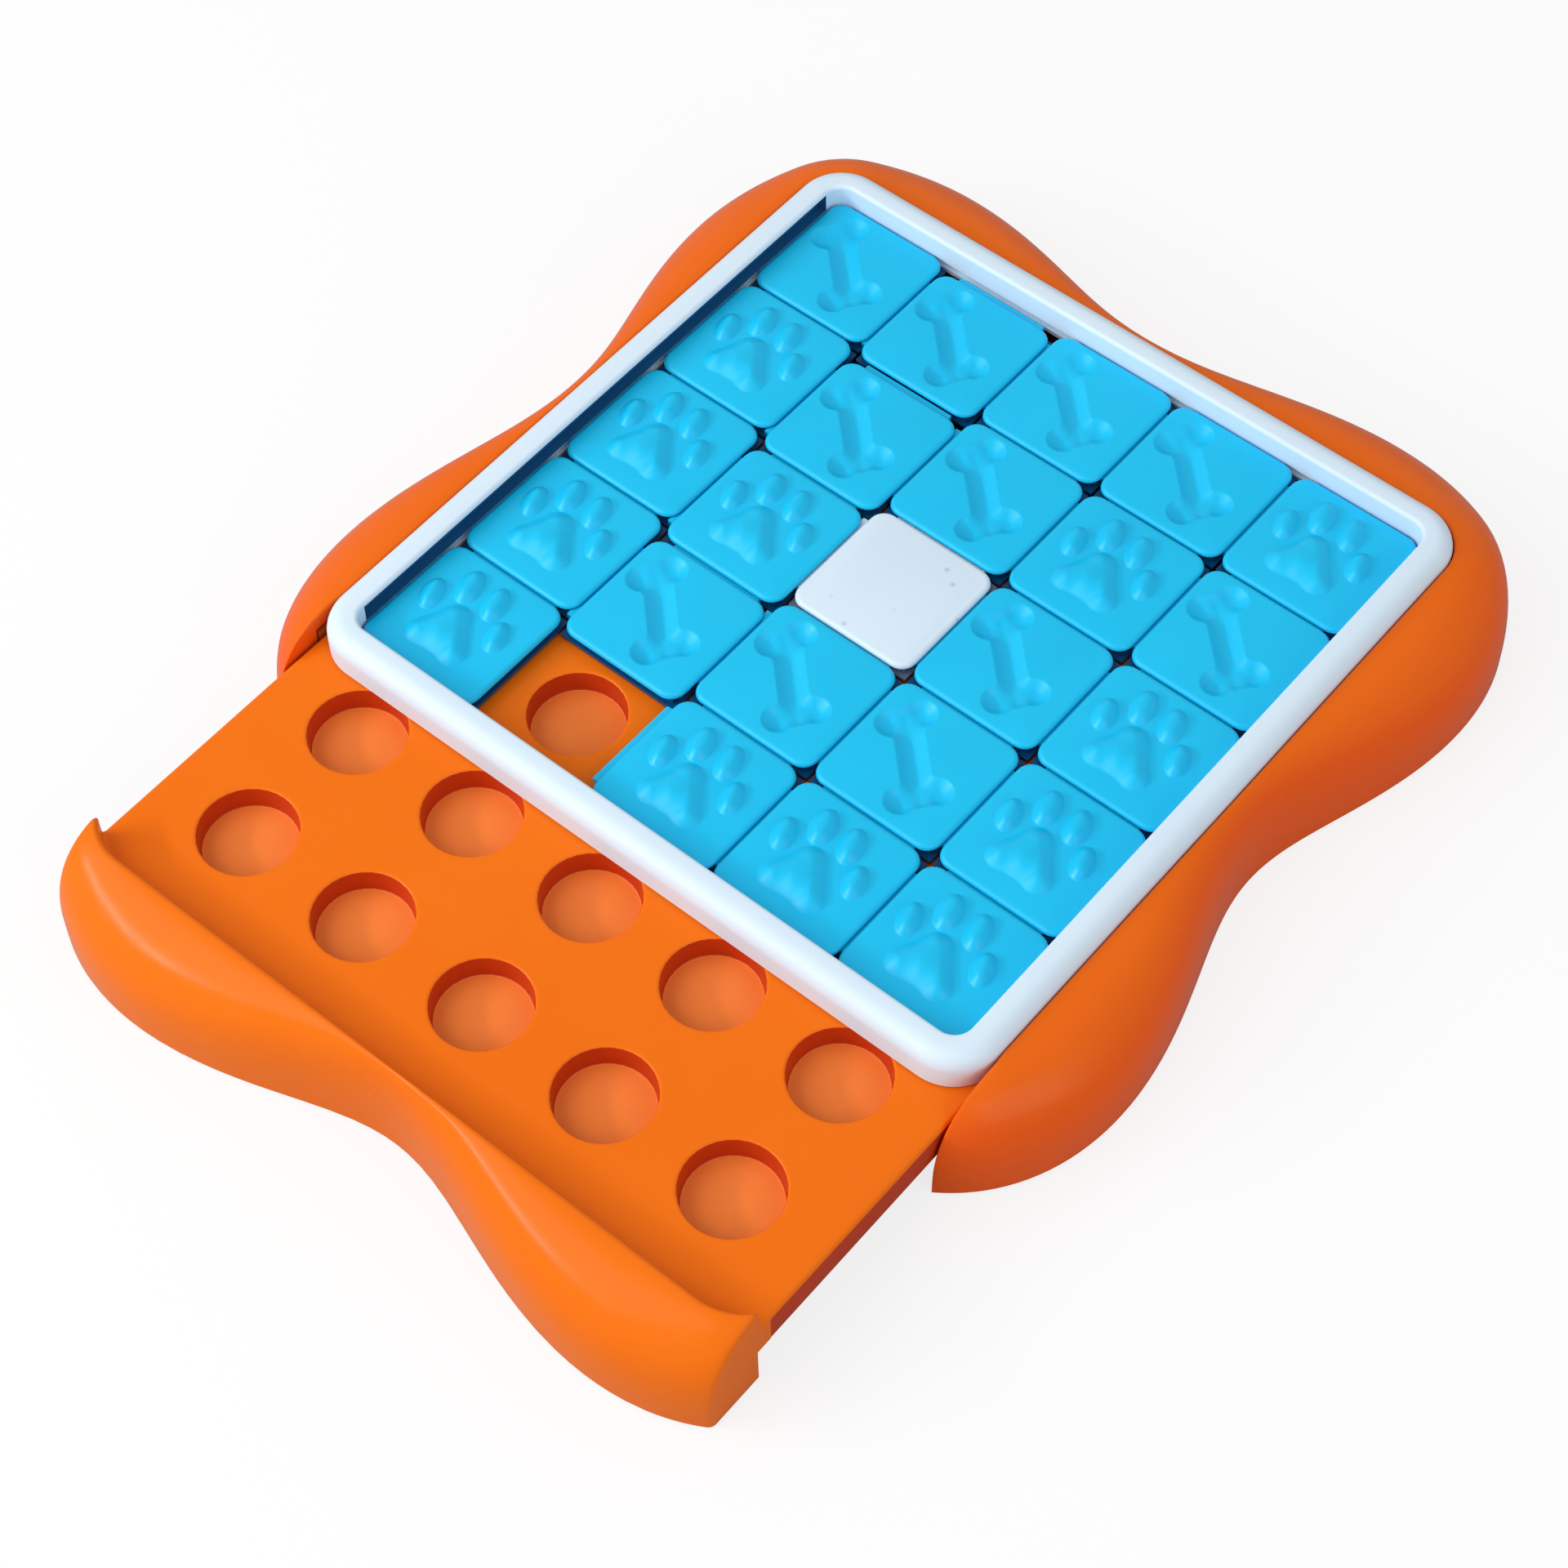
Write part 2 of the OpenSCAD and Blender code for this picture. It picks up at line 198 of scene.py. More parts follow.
def square_loop(half, corner, stations, steps=6):
    """Points round a square with rounded corners: (x, y, side, place along the side).

    Sides 0 to 3 face +X, +Y, -X and -Y. Points in a corner have side None.
    """
    k = half - corner
    found = []
    for side in range(4):
        turn = side * pi / 2
        local = [(half, t, side, t) for t in stations]
        local += [(k + x, k + y, None, 0) for x, y in arc((0, 0), corner, 0, 90, steps)[1:-1]]
        for x, y, kind, t in local:
            found.append((x * cos(turn) - y * sin(turn), x * sin(turn) + y * cos(turn), kind, t))
    return found


def level_z(level, is_tongue):
    """Height of the low or high edge of a tongue or a groove."""
    low, high = TONGUE_Z if is_tongue else GROOVE_Z
    return high if level.startswith("high") else low


# ---- Forms on the tiles, as distances that are negative inside ----


def smooth_min(values, k):
    """Smooth union of distances."""
    total = values[0]
    for v in values[1:]:
        h = max(k - abs(total - v), 0) / k
        total = min(total, v) - h * h * k / 4
    return total


def disc(x, y, r):
    return lambda p: hypot(p[0] - x, p[1] - y) - r


def capsule(a, b, r):
    def distance(p):
        ab, ap = (b[0] - a[0], b[1] - a[1]), (p[0] - a[0], p[1] - a[1])
        t = max(0, min(1, (ab[0] * ap[0] + ab[1] * ap[1]) / (ab[0] ** 2 + ab[1] ** 2)))
        return hypot(ap[0] - t * ab[0], ap[1] - t * ab[1]) - r
    return distance


def ellipse(x, y, a, b, lean):
    """Near distance to an ellipse of half sizes a and b, turned by lean degrees."""
    c, s = cos(radians(lean)), sin(radians(lean))

    def distance(p):
        u, v = (p[0] - x) * c + (p[1] - y) * s, (p[1] - y) * c - (p[0] - x) * s
        k0 = hypot(u / a, v / b)
        k1 = hypot(u / a / a, v / b / b)
        return k0 * (k0 - 1) / k1 if k1 > 1e-9 else -min(a, b)
    return distance


def union(parts, k):
    return lambda p: smooth_min([f(p) for f in parts], k)


# Paw: a pad like a rounded triangle and four toes that lean to the left. Bone: four knobs and a shaft.
PAD_TOP, PAD_LEFT, PAD_RIGHT = (-2.1, -0.3), (-6.5, -8.8), (5.0, -8.9)
PAD = union([capsule(PAD_TOP, PAD_LEFT, 4.2), capsule(PAD_TOP, PAD_RIGHT, 4.2), disc(-1.0, -6.6, 5.6)], 2.5)
TOES = [
    (-12.4, 2.2, 3.3, 5.4, 16),
    (-6.0, 9.9, 3.6, 5.9, 14),
    (3.2, 9.8, 3.6, 5.9, 16),
    (10.6, 2.0, 3.3, 5.4, 19),
]
KNOB_R = 4.4
BONE_ENDS = [(-13.0, 5.6), (-8.8, 12.9), (3.7, -11.7), (9.3, -3.6)]
SHAFT = capsule((-10.6, 9.0), (6.3, -7.4), 4.1)
BONE = union([SHAFT] + [disc(x, y, KNOB_R) for x, y in BONE_ENDS], 1.5)

# Each form has its distance, a place near its edge, the width of its slope and its height.
PAD_SLOPE, PAD_HEIGHT = 5.5, 2.7
TOE_SLOPE, TOE_HEIGHT = 3.4, 2.2
BONE_SLOPE, BONE_HEIGHT = 3.9, -2.2
TOE_FORMS = [(ellipse(x, y, a, b, lean), (x, y - b), TOE_SLOPE, TOE_HEIGHT) for x, y, a, b, lean in TOES]
FORMS = {
    "paw": [(PAD, (-1.9, -12), PAD_SLOPE, PAD_HEIGHT)] + TOE_FORMS,
    "bone": [(BONE, (0, 3), BONE_SLOPE, BONE_HEIGHT)],
    "plain": [],
}

# Tracing of a form's edge: the step, how near its start the trace ends, and the flattest slope it follows
TRACE_STEP = 0.8
TRACE_LIMIT = 400
TRACE_START = 8
TRACE_END = 0.75 * TRACE_STEP
SETTLE_STEPS = 8
FLATTEST = 0.05

# Level lines: one just outside the edge, then at these shares of the slope's width, then loose points
GUARD = 0.3
LEVELS = [0, 0.08, 0.2, 0.36, 0.53, 0.7]
INNER_STEP = 0.8


def slope(f, p):
    e = 1e-3
    return ((f((p[0] + e, p[1])) - f((p[0] - e, p[1]))) / (2 * e),
            (f((p[0], p[1] + e)) - f((p[0], p[1] - e))) / (2 * e))


def settle(f, p, level):
    """Moves a point along the slope of f until f has that level."""
    for _ in range(SETTLE_STEPS):
        gx, gy = slope(f, p)
        move = (level - f(p)) / max(gx * gx + gy * gy, FLATTEST)
        p = (p[0] + gx * move, p[1] + gy * move)
    return p


def outline(f, start):
    """Points round the zero line of f, one step apart, from near start."""
    first = p = settle(f, start, 0)
    points = [first]
    while len(points) < TRACE_LIMIT:
        gx, gy = slope(f, p)
        size = hypot(gx, gy)
        p = settle(f, (p[0] - gy / size * TRACE_STEP, p[1] + gx / size * TRACE_STEP), 0)
        if len(points) > TRACE_START and hypot(p[0] - first[0], p[1] - first[1]) < TRACE_END:
            break
        points.append(p)
    return points


def form_loops(f, start, width):
    """Level lines of a form, from just outside its edge inwards, and loose points in its middle."""
    edge = outline(f, start)
    levels = [GUARD] + [-width * share for share in LEVELS]
    loops = [[settle(f, p, level) for p in edge] for level in levels]
    reach = int(TILE_HALF / INNER_STEP)
    grid = [(i * INNER_STEP, j * INNER_STEP) for i in range(-reach, reach) for j in range(-reach, reach)]
    return loops, [p for p in grid if f(p) < levels[-1] - INNER_STEP / 2]


def relief(p, kind):
    """Height of a tile's raised or sunken forms at a point of its face."""
    total = 0
    for f, _, width, height in FORMS[kind]:
        total += height * sin(pi / 2 * max(0, min(-f(p) / width, 1)))
    return total


# ---- Sliding tiles ----

TILE_CORNER = 4.6
TILE_ROUND = 1.3
TILE_ROUND_STEPS = 4
TILE_CHAMFER = 0.4
FOOT_CORNER = 0.6
TONGUE_REACH = 14.5
TONGUE_END = 0.1
GROOVE_DEEP = 1.5


def tile_rows():
    """The tile's side from its top edge down: (inset, corner, z, which edge of the groove and tongue).

    Its foot has sharper corners than its face, so that it closes the hole where four tiles meet.
    """
    rows = []
    for i in range(TILE_ROUND_STEPS + 1):
        a = radians(90 * i / TILE_ROUND_STEPS)
        inset = TILE_ROUND * (1 - sin(a))
        rows.append((inset, TILE_CORNER - inset, TILE_TOP - TILE_ROUND * (1 - cos(a)), None))
    rows += [(0, TILE_CORNER, None, level) for level in ("high", "high in", "low in", "low")]
    rows += [(0, FOOT_CORNER, None, "low"), (0, FOOT_CORNER, TILE_BOTTOM + TILE_CHAMFER, None)]
    rows += [(TILE_CHAMFER, FOOT_CORNER, TILE_BOTTOM, None)]
    return rows


def tile_ring(inset, corner, z, level):
    """One ring of the tile's side. Grooves run along +X and -Y, tongues stand out at -X and +Y."""
    k = TILE_HALF - TILE_CORNER
    end = TONGUE_REACH + TONGUE_END
    stations = [-k, -end, -TONGUE_REACH, TONGUE_REACH, end, k]
    ring = []
    for x, y, side, along in square_loop(TILE_HALF - inset, corner, stations):
        is_tongue = side in (1, 2)
        height = level_z(level, is_tongue) if level else z
        if level and level.endswith("in"):
            x, y = min(x, TILE_HALF - GROOVE_DEEP), max(y, GROOVE_DEEP - TILE_HALF)
            if is_tongue and abs(along) <= TONGUE_REACH:
                x, y = (x - TONGUE_OUT, y) if side == 2 else (x, y + TONGUE_OUT)
        ring.append((x, y, height))
    return ring


def tile_mesh(kind):
    """A tile round the origin. Its face is meshed along the level lines of its forms."""
    piece = Piece()
    rings = [tile_ring(*row) for row in tile_rows()]
    made = piece.loft(rings)
    piece.fan(made[-1], (0, 0, TILE_BOTTOM))
    points, edges = [], []

    def add_loop(loop):
        first = len(points)
        points.extend(Vector(p[:2]) for p in loop)
        edges.extend((first + i, first + (i + 1) % len(loop)) for i in range(len(loop)))

    add_loop(rings[0])
    loose = []
    for f, start, width, _ in FORMS[kind]:
        loops, inner = form_loops(f, start, width)
        for loop in loops:
            add_loop(loop)
        loose += inner
    points.extend(Vector(p) for p in loose)
    flat, _, faces = delaunay_2d_cdt(points, edges, [], 0, 1e-6)[:3]
    verts = [piece.vertex((p.x, p.y, TILE_TOP + relief(p, kind))) for p in flat]
    for corners in faces:
        piece.face([verts[i] for i in corners])
    return piece


# ---- Frame ----

FRAME_WIDTH = FRAME_OUTER - FRAME_INNER
FRAME_BOTTOM = 25.1
FRAME_TOP = box_mm("bezel_frame")[1].z
FRAME_LIP = 1.2
FRAME_BROW = 5.0
FRAME_RUN = 94.6
FRAME_STATIONS = [-60, -30, 0, 30, 60]
RUN_END = 0.1
FLANGE_OUT = 2.1
FRAME_TONGUE = 1.9
FRAME_GROOVE = 1.6
CORNER_STEP = 0.8
RECESS = 3.0
RECESS_Z = (28.8, 34.7)
OUTWARD = {0: (1, 0), 1: (0, 1), 2: (-1, 0), 3: (0, -1), None: (0, 0)}


def frame_section():
    """The frame's section as (distance outwards, z, level), from its inner foot up and round."""
    low, high = RECESS_Z
    section = [(0, FRAME_BOTTOM, None)]
    section += [(0, 0, level) for level in ("low", "low in", "high in", "high")]
    section += [(0, low, None), (0, low, "recess"), (0, high, "recess"), (0, high, None)]
    lip = arc((FRAME_LIP, FRAME_TOP - FRAME_LIP), FRAME_LIP, 180, 90, 6)
    brow = arc((FRAME_WIDTH - FRAME_BROW, FRAME_TOP - FRAME_BROW), FRAME_BROW, 90, 0, 9)
    section += [(out, z, None) for out, z in lip + brow]
    section += [(FRAME_WIDTH, FLANGE_TOP, None)]
    section += [(FRAME_WIDTH, z, "flange") for z in (FLANGE_TOP, FRAME_BOTTOM)]
    return section


def frame_point(x, y, side, along, z, level):
    """A point of the frame. Tongues stand in at +X and -Y, grooves run along -X and +Y.

    The flange stands out at every side but the front, and the recess lies in the left inner wall.
    """
    push = 0
    is_run = side is not None and abs(along) <= FRAME_RUN
    if level == "flange":
        push = FLANGE_OUT if is_run and side != 3 else 0
    elif level == "recess":
        push = RECESS if is_run and side == 2 else 0
    elif level:
        is_tongue = side in (0, 3)
        z = level_z(level, is_tongue)
        if side is None:
            z = sum(TONGUE_Z) / 2 + (CORNER_STEP if level.startswith("high") else -CORNER_STEP)
        if level.endswith("in") and is_run:
            push = -FRAME_TONGUE if is_tongue else FRAME_GROOVE
    dx, dy = OUTWARD[side]
    return (x + push * dx, y + push * dy, z)


def frame_mesh():
    """A ring of a smooth section, with the grooves and tongues that hold the outer tiles."""
    piece = Piece()
    end = FRAME_RUN + RUN_END
    stations = [-FRAME_STRAIGHT, -end, -FRAME_RUN] + FRAME_STATIONS + [FRAME_RUN, end, FRAME_STRAIGHT]
    rows = []
    for out, z, level in frame_section():
        loop = square_loop(FRAME_INNER + out, FRAME_CORNER - FRAME_WIDTH + out, stations, steps=14)
        rows.append([frame_point(*place, z, level) for place in loop])
    piece.loft(rows, closed_columns=True)
    return piece


# ---- The wavy dome shared by the housing and the drawer's front ----

OUTLINE_MEAN = 140.1
OUTLINE_WAVE = 24.5
OUTLINE_STRETCH = 0.8
OUTLINE_SHIFT = 1.2
DOME_START = POCKET - 1
CROWN = 3.3
FOOT_GATHER = 1.5
HALVINGS = 50


def outline_r(a):
    return OUTLINE_MEAN + OUTLINE_STRETCH * cos(2 * a) - OUTLINE_WAVE * cos(4 * a)


def square_r(a, half, corner):
    """Radius of a square with rounded corners in the direction a."""
    c, s = abs(cos(a)), abs(sin(a))
    edge, k = half / max(c, s), half - corner
    along = k * (c + s)
    if edge * min(c, s) > k:
        return along + sqrt(max(along * along - 2 * k * k + corner * corner, 0))
    return edge


def dome_ends(a, inset=0.0):
    """Radius of the dome's lip and of its foot in the direction a."""
    return square_r(a, DOME_START, FRAME_CORNER), outline_r(a) - inset


def dome_z(u, top, inset=0.0):
    """Height of the dome where u runs from 0 at its lip to 1 at its foot."""
    h = max(1 - u * u, 0) ** (1 / CROWN)
    return SHELL_BOTTOM + (top - inset - SHELL_BOTTOM) * h


def dome_point(a, u, top, inset=0.0):
    inner, outer = dome_ends(a, inset)
    r = inner * (1 - u) + outer * u
    return (r * cos(a), r * sin(a) + OUTLINE_SHIFT * u, dome_z(u, top, inset))


def dome_u(a, r, inset=0.0):
    """Where on the dome the radius r lies, in the direction a."""
    inner, outer = dome_ends(a, inset)
    return max(0.0, min(1.0, (r - inner) / (outer - inner)))


def dome_steps(start, count):
    """Values of u from just after start to the foot, closer together towards the foot."""
    t0 = atan2(start, sqrt(max(1 - start * start, 0)))
    return [sin(t0 + (pi / 2 - t0) * (1 - (1 - i / count) ** FOOT_GATHER)) for i in range(1, count + 1)]


# ---- Housing ----

MOUTH = 109.4
LINING = 111.4
ARM_FRONT = 104.9
ARM_TIP_RANGE = (40, 50)
ARC_STEPS = 264
ARM_STEPS = 26
DOME_ROWS = 26
LINING_ROWS = 13
LIP_ROUND = 0.8
FLANGE_LAP = 0.5
SHOULDER_STEP = 1e-4


def pocket_r(a):
    """Radius of the housing's inner edge: the frame's pocket, or the flat end of an arm."""
    r = square_r(a, POCKET, POCKET_CORNER)
    if r * sin(a) < -FRAME_STRAIGHT - 1:
        return max(r, MOUTH / abs(cos(a)))
    return r


def arm_tip():
    """Angle below the X axis at which the flat end of the right arm meets the outline."""
    low, high = [radians(angle) for angle in ARM_TIP_RANGE]
    for _ in range(HALVINGS):
        mid = (low + high) / 2
        low, high = (mid, high) if outline_r(-mid) > MOUTH / cos(mid) else (low, mid)
    return low


def housing_section(a):
    """Closed section of the housing in the direction a, as points."""
    r_in = pocket_r(a)
    outer = outline_r(a)
    is_arm = r_in * sin(a) < -ARM_FRONT
    low = SHELL_BOTTOM if is_arm else FLANGE_TOP - FLANGE_LAP

    def at(r, z):
        return (r * cos(a), r * sin(a) + OUTLINE_SHIFT * dome_u(a, r), z)

    section = [at(r_in, low)]
    for angle in (0, 30, 60, 90):
        r = min(r_in + LIP_ROUND * (1 - cos(radians(angle))), outer)
        z = dome_z(dome_u(a, r), LIP_Z) - LIP_ROUND * (1 - sin(radians(angle)))
        section.append(at(r, max(z, low)))
    start = dome_u(a, min(r_in + LIP_ROUND, outer))
    section += [dome_point(a, u, LIP_Z) for u in dome_steps(start, DOME_ROWS)]
    # inside, from the foot up to the lining of the pocket, or solid where the wall is as thick as the rest
    lining = min(LINING / abs(cos(a)) if is_arm else LINING / POCKET * r_in, outer)
    is_solid = lining >= outer - WALL
    for i in range(LINING_ROWS):
        u = sin(radians(90 * (1 - i / LINING_ROWS)))
        x, y, z = dome_point(a, u, LIP_Z, WALL)
        if is_solid or hypot(x, y - OUTLINE_SHIFT * u) < lining:
            x, y, _ = at(lining, 0)
            z = dome_z(dome_u(a, min(lining, outer - WALL), WALL), LIP_Z, WALL)
            z = max(low, z) if is_arm else min(z, dome_z(dome_u(a, lining), LIP_Z))
        section.append((x, y, max(z, SHELL_BOTTOM)))
    section.append(at(lining, low))
    return section


def housing_mesh():
    """Sections from the tip of the right arm, round the rear, to the tip of the left arm."""
    piece = Piece()
    tip = arm_tip()
    shoulder = atan2(ARM_FRONT, MOUTH)
    right = [-tip + (tip - shoulder) * (i / ARM_STEPS) ** 2 for i in range(ARM_STEPS + 1)]
    right[-1] -= SHOULDER_STEP
    right.append(-shoulder + SHOULDER_STEP)
    span = pi + 2 * shoulder
    middle = [-shoulder + span * i / ARC_STEPS for i in range(1, ARC_STEPS)]
    left = [pi - a for a in reversed(right)]
    made = piece.loft([housing_section(a) for a in right + middle + left])
    for row in (made[0], made[-1]):
        piece.face(row)
    return piece


# ---- Drawer ----

# Plate with its wells
PLATE_TOP = 24.5
PLATE_BOTTOM = 22.1
SKIRT_BOTTOM = 14.0
SKIRT_CHAMFER = 0.4
END_ROUND = 1.0
MARGIN_STEPS = 6
CELL_POINTS = 32
WELL_R = 13.1
WELL_FLOOR = PLATE_TOP - 7.0
WELL_DRAFT = 0.2
WELL_FILLET = 0.6
RIM_ROUND = 0.8
FLAT_RING = 0.5
CUP_BOTTOM = 15.7
CUP_R = 15.2
CUP_ROUND = 1
CUP_BEND = 0.3
HUB_R = 4

# Front bar
BAR_TOP = drawer_high.z
BAR_BACK = FRAME_OUTER + 0.6
BAR_FOOT = FRAME_OUTER - 4.0
BAR_REACH = (-170.0, -60.0)
BAR_ROWS = 24
BAR_END_X = 0.02
BEND_STEPS = 4
INNER_ROWS = 9
INNER_START = 0.05
SHELF_STEP = 0.1
COVE = 1.8
COVE_SHARE = 0.9
RIDGE_ROUND = 2.0
EAR_ROUND = 17.8


def cell_square():
    """Points on the border of a cell, evenly spread in angle."""
    points = []
    for i in range(CELL_POINTS):
        a = 2 * pi * i / CELL_POINTS
        r = PITCH / 2 / max(abs(cos(a)), abs(sin(a)))
        points.append((r * cos(a), r * sin(a)))
    return points


def circle(r, z, x, y):
    """Points of a level circle round (x, y), one for each point on a cell's border."""
    steps = [2 * pi * i / CELL_POINTS for i in range(CELL_POINTS)]
    return [(x + r * cos(a), y + r * sin(a), z) for a in steps]


def add_cells(piece):
    """The plate's top with its round wells, and its underside with their cups."""
    foot_r = WELL_R - WELL_DRAFT - WELL_FILLET
    well = [(WELL_R + RIM_ROUND + FLAT_RING, PLATE_TOP)]
    well += arc((WELL_R + RIM_ROUND, PLATE_TOP - RIM_ROUND), RIM_ROUND, 90, 180, 5)
    well += arc((foot_r, WELL_FLOOR + WELL_FILLET), WELL_FILLET, 0, -90, 6)
    well += [(foot_r - 1, WELL_FLOOR), (HUB_R, WELL_FLOOR)]
    cup = [(CUP_R + FLAT_RING, PLATE_BOTTOM), (CUP_R, PLATE_BOTTOM), (CUP_R, CUP_BOTTOM + CUP_ROUND),
           (CUP_R - CUP_BEND, CUP_BOTTOM + CUP_BEND), (CUP_R - CUP_ROUND, CUP_BOTTOM), (HUB_R, CUP_BOTTOM)]
    for x in CENTRES:
        for y in CENTRES:
            for profile, level in ((well, PLATE_TOP), (cup, PLATE_BOTTOM)):
                border = [(x + px, y + py, level) for px, py in cell_square()]
                made = piece.loft([border] + [circle(r, z, x, y) for r, z in profile])
                piece.fan(made[-1], (x, y, profile[-1][1]))


def cell_stations():
    """Places along a side of the plate at which the cells' borders have points."""
    eighth = CELL_POINTS // 8
    steps = [PITCH / 2 * tan(2 * pi * i / CELL_POINTS) for i in range(-eighth, eighth + 1)]
    return sorted({round(centre + s, 6) for centre in CENTRES for s in steps})


def add_plate_edge(piece):
    """The plate's margin and side edges, round its left, rear and right sides."""
    margin = DRAWER_HALF - GRID_HALF
    edge = [(i, PLATE_TOP) for i in range(MARGIN_STEPS)]
    edge += arc((margin - END_ROUND, PLATE_TOP - END_ROUND), END_ROUND, 90, 0, 3)
    edge += [(margin, SKIRT_BOTTOM + SKIRT_CHAMFER), (margin - SKIRT_CHAMFER, SKIRT_BOTTOM)]
    edge += [(margin - WALL + SKIRT_CHAMFER, SKIRT_BOTTOM), (margin - WALL, SKIRT_BOTTOM + SKIRT_CHAMFER)]
    edge += [(margin - WALL, PLATE_BOTTOM)]
    edge += [(i, PLATE_BOTTOM) for i in reversed(range(MARGIN_STEPS))]
    stations = cell_stations()
    rows = []
    for out, z in edge:
        reach = GRID_HALF + out
        left = [(-reach, y, z) for y in stations]
        rear = [(x, reach, z) for x in stations]
        right = [(reach, y, z) for y in reversed(stations)]
        rows.append(left + [(-reach, reach, z)] + rear + [(reach, reach, z)] + right)
    piece.loft(rows, closed_rows=False)


def back_of_bar(x):
    """Y of the bar's back face, which runs along the frame and bends round its corners."""
    over = max(abs(x) - FRAME_STRAIGHT, 0)
    return EAR_ROUND - BAR_BACK - sqrt(max(EAR_ROUND * EAR_ROUND - over * over, 0))


def bar_y(x, u, inset=0.0):
    """Y at which the dome has the value u, for a given x in front of the tiles."""
    low, high = BAR_REACH
    for _ in range(HALVINGS):
        y = (low + high) / 2
        a = atan2(y - OUTLINE_SHIFT * u, x)
        inner, outer = dome_ends(a, inset)
        r = hypot(x, y - OUTLINE_SHIFT * u)
        if (r - inner) / (outer - inner) > u:
            low = y
        else:
            high = y
    return y


def bar_u(x, y, inset=0.0):
    """The dome's value at a point in front of the tiles."""
    u = 0.0
    for _ in range(6):
        a = atan2(y - OUTLINE_SHIFT * u, x)
        u = dome_u(a, hypot(x, y - OUTLINE_SHIFT * u), inset)
    return u


def bar_section(x):
    """Section of the drawer's front bar at x, as points from the plate's top round to its underside."""
    past = max(abs(x) - (DRAWER_HALF - END_ROUND), 0)
    drop = END_ROUND - sqrt(max(END_ROUND * END_ROUND - past * past, 0))
    back, plate = back_of_bar(x) - drop, PLATE_TOP - drop
    cove = min(COVE, COVE_SHARE * (-GRID_HALF - back))
    section = [(-GRID_HALF, plate)]
    section += arc((back + cove, plate + cove), cove, -90, -180, 7)
    for angle in (0, 15, 30, 45, 60, 75, 90):
        y = back - RIDGE_ROUND * (1 - cos(radians(angle)))
        z = dome_z(bar_u(x, y, drop), BAR_TOP, drop) - RIDGE_ROUND * (1 - sin(radians(angle)))
        section.append((y, z))
    for u in dome_steps(bar_u(x, back - RIDGE_ROUND, drop), BAR_ROWS):
        section.append((bar_y(x, u, drop), dome_z(u, BAR_TOP, drop)))
    # inside, from the front foot up to the roof and back down to the foot under the plate
    front = section[-1][0]
    foot, roof_end = -BAR_FOOT - WALL, -BAR_BACK - WALL
    is_hollow = abs(x) <= DRAWER_HALF - WALL + BAR_END_X / 2
    for i in range(INNER_ROWS):
        share = i / INNER_ROWS
        y, z = front + (share + INNER_START) * (foot - front), SHELL_BOTTOM
        if is_hollow:
            y = min(bar_y(x, cos(share * pi / 2), WALL), roof_end)
            z = dome_z(bar_u(x, y, WALL), BAR_TOP, WALL)
        section.append((y, z))
    shelf, under = (PLATE_BOTTOM, PLATE_BOTTOM) if is_hollow else (SHELL_BOTTOM, SKIRT_BOTTOM)
    section += [(roof_end if is_hollow else foot - SHELF_STEP, shelf), (foot, shelf), (foot, SHELL_BOTTOM)]
    section += [(-BAR_FOOT, SHELL_BOTTOM), (-BAR_FOOT, under), (-GRID_HALF, under)]
    return [(x, y, z) for y, z in section]


def add_bar(piece):
    """The front bar from end to end, with its sections gathered at its bends and rounded ends."""
    inside = DRAWER_HALF - WALL
    side = [FRAME_STRAIGHT + (GRID_HALF - FRAME_STRAIGHT) * i / BEND_STEPS for i in range(BEND_STEPS)]
    side += [GRID_HALF + i for i in range(1, MARGIN_STEPS)] + [inside, inside + BAR_END_X]
    side += [DRAWER_HALF - END_ROUND * (1 - sin(radians(angle))) for angle in (0, 30, 60, 90)]
    xs = sorted(cell_stations() + side + [-x for x in side])
    made = piece.loft([bar_section(x) for x in xs], closed_rows=False)
    for row in (made[0], made[-1]):
        piece.face(row)


def drawer_mesh():
    """The drawer as if it were shut, with its wells below the cells."""
    piece = Piece()
    add_cells(piece)
    add_plate_edge(piece)
    add_bar(piece)
    return piece


# ---- Materials ----

# Scales of the noises per metre, and the grain's strength and depth in metres
CLOUD_SCALE = 22
GLOSS_SCALE = 140
GRAIN_SCALE = 2600
GRAIN_STRENGTH = 0.12
GRAIN_DEPTH = 0.0001
SPECK_SCALE = 130
SPECK_RANGE = (0.03, 0.13)
SPECK_SHARE = 0.55
# Range of the normal's height over which near-upright walls blend into their painted shade
PAINTED_SHADE_RANGE = (0.4, 1.0)


def linear(value):
    """Turns an sRGB value of 0 to 255 into a linear one of 0 to 1."""
    v = value / 255
    return v / 12.92 if v <= 0.04045 else ((v + 0.055) / 1.055) ** 2.4


def rgba(red, green, blue):
    """A linear colour from sRGB values of 0 to 255."""
    return (linear(red), linear(green), linear(blue), 1)


